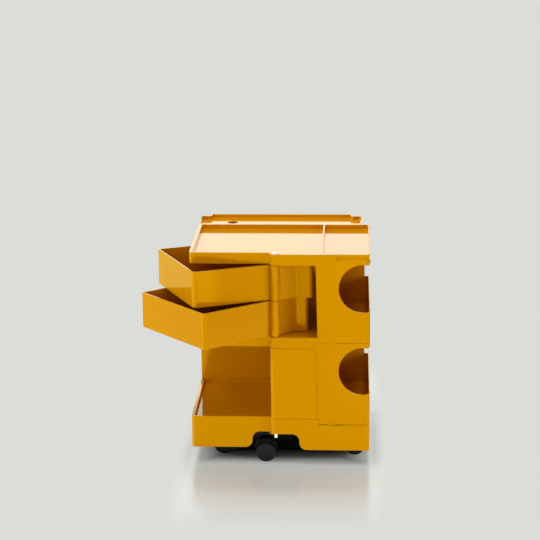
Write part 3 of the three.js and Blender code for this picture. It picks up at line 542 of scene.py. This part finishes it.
def floor_material():
    """Pale, with the trolley's cast shadow and reflection, a painted shadow deep under it and painted
    light at its outline, fading into the backdrop further out.

    Glossy pieces see it warm, and brighter in front of the trolley than behind it.
    """
    material, tree, shader = new_material("pale_floor")
    drift = span(tree, noise(tree, 3.0, 2.0), 0.3, 0.7, 0, 1)
    colour = blend_colour(tree, drift, FLOOR_PALE, FLOOR_DRIFT)
    shader.inputs["Roughness"].default_value = 0.2
    shader.inputs["IOR"].default_value = 1.4
    place = add(tree, "ShaderNodeTexCoord")
    parts = add(tree, "ShaderNodeSeparateXYZ")
    tree.links.new(place.outputs["Object"], parts.inputs[0])
    low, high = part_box("base")
    depth = within(tree, parts, low, high)
    # painted shadow: the floor's colour darkens deep under the trolley
    colour = blend_colour(tree, span(tree, depth, DARK_FROM, DARK_AT, 0, 1), colour, FLOOR_PAINTED_SHADOW)
    tree.links.new(colour, shader.inputs["Base Color"])
    path = add(tree, "ShaderNodeLightPath")
    glossy = path.outputs["Is Glossy Ray"]
    lift = math_node(
        tree, "MULTIPLY",
        span(tree, parts.outputs["Y"], -0.25, -0.05, FRONT_LIFT, SIDE_LIFT),
        span(tree, parts.outputs["X"], 0.5, 1.3, 1, RIGHT_SHARE),
    )
    seen = add(tree, "ShaderNodeEmission")
    seen.inputs["Color"].default_value = (*BACKDROP, 1)
    mirrored = add(tree, "ShaderNodeEmission")
    mirrored.inputs["Color"].default_value = (*MIRRORED, 1)
    tree.links.new(lift, mirrored.inputs["Strength"])
    glow = add(tree, "ShaderNodeMixShader")
    tree.links.new(glossy, glow.inputs[0])
    tree.links.new(seen.outputs["Emission"], glow.inputs[1])
    tree.links.new(mirrored.outputs["Emission"], glow.inputs[2])
    beside = beyond(tree, parts.outputs["X"], low.x, high.x, FADE_SIDE)
    before = beyond(tree, parts.outputs["Y"], low.y, high.y, FADE_FRONT)
    squares = [math_node(tree, "MULTIPLY", side, side) for side in (beside, before)]
    distance = math_node(tree, "SQRT", math_node(tree, "ADD", *squares), 0.0)
    # painted light: near the trolley's outline the backdrop's glow lifts the floor's shadow
    outer_rim = span(tree, distance, 0, FADE_STARTS, SHADOW_LIGHT, 0)
    inner_rim = span(tree, depth, 0, RIM_DEPTH, SHADOW_LIGHT, 0)
    rim = math_node(tree, "MINIMUM", outer_rim, inner_rim)
    far = math_node(tree, "MAXIMUM", span(tree, distance, FADE_STARTS, FADE_ENDS, 0, 1), rim)
    near_mirror = math_node(tree, "MULTIPLY", glossy, span(tree, distance, 0.0, MIRROR_STARTS, 0, 1))
    far = math_node(tree, "MAXIMUM", far, near_mirror)
    mix = add(tree, "ShaderNodeMixShader")
    tree.links.new(far, mix.inputs[0])
    tree.links.new(shader.outputs["BSDF"], mix.inputs[1])
    tree.links.new(glow.outputs["Shader"], mix.inputs[2])
    tree.links.new(mix.outputs["Shader"], tree.nodes["Material Output"].inputs["Surface"])
    return material


def make_floor():
    mesh = bpy.data.meshes.new("floor")
    half = FLOOR_HALF
    corners = [(-half, -half, 0), (half, -half, 0), (half, half, 0), (-half, half, 0)]
    mesh.from_pydata(corners, [], [(0, 1, 2, 3)])
    floor = bpy.data.objects.new("floor", mesh)
    bpy.context.scene.collection.objects.link(floor)
    dress(floor, floor_material())


def make_world():
    world = bpy.data.worlds.new("studio")
    bpy.context.scene.world = world
    world.use_nodes = True
    tree = world.node_tree
    ambient = tree.nodes["Background"]
    ambient.inputs["Color"].default_value = (1.0, 1.0, 1.0, 1)
    ambient.inputs["Strength"].default_value = WORLD_LIGHT
    seen = add(tree, "ShaderNodeBackground")
    seen.inputs["Color"].default_value = (*BACKDROP, 1)
    path = add(tree, "ShaderNodeLightPath")
    mix = add(tree, "ShaderNodeMixShader")
    tree.links.new(path.outputs["Is Camera Ray"], mix.inputs[0])
    tree.links.new(ambient.outputs["Background"], mix.inputs[1])
    tree.links.new(seen.outputs["Background"], mix.inputs[2])
    tree.links.new(mix.outputs["Shader"], tree.nodes["World Output"].inputs["Surface"])


def softbox(name, spot, aim, width, height, watts, colour, in_gloss):
    light = bpy.data.lights.new(name, "AREA")
    light.shape = "RECTANGLE"
    light.size = width
    light.size_y = height
    light.energy = watts
    light.color = colour
    lamp = bpy.data.objects.new(name, light)
    bpy.context.scene.collection.objects.link(lamp)
    lamp.location = spot
    lamp.rotation_euler = (Vector(aim) - Vector(spot)).to_track_quat("-Z", "Y").to_euler()
    lamp.visible_camera = False
    lamp.visible_glossy = in_gloss


def make_camera():
    data = bpy.data.cameras.new("camera")
    data.lens = LENS
    data.sensor_width = 36
    data.clip_end = 50
    camera = bpy.data.objects.new("camera", data)
    bpy.context.scene.collection.objects.link(camera)
    turn = Matrix.Rotation(CAMERA_TURN, 4, "Z")
    tilt = Matrix.Rotation(CAMERA_TILT, 4, "X")
    roll = Matrix.Rotation(CAMERA_ROLL, 4, "Z")
    camera.matrix_world = Matrix.Translation(CAMERA_SPOT) @ turn @ tilt @ roll
    bpy.context.scene.camera = camera


def main():
    bpy.context.scene.view_settings.view_transform = "Standard"
    materials = {
        "shell": plastic_shell(),
        "black": black_plastic(),
        "wheel": wheel_plastic(),
        "steel": bright_steel(),
    }
    for name in SHELL_NODES:
        dress(nodes[name], materials["shell"])
        round_edges(nodes[name], EDGE_ROUND)
    # painted shade: the base's underside gets the black castor plastic
    paint_underside_shade(nodes["base"], materials["black"])
    for name in CASTORS:
        dress_castor(name, materials)
    dress_rod(materials)
    make_bay_rim(materials["shell"])
    make_drain_webs(materials["shell"])
    make_floor()
    make_world()
    for lamp in LAMPS:
        softbox(*lamp)
    make_camera()


main()
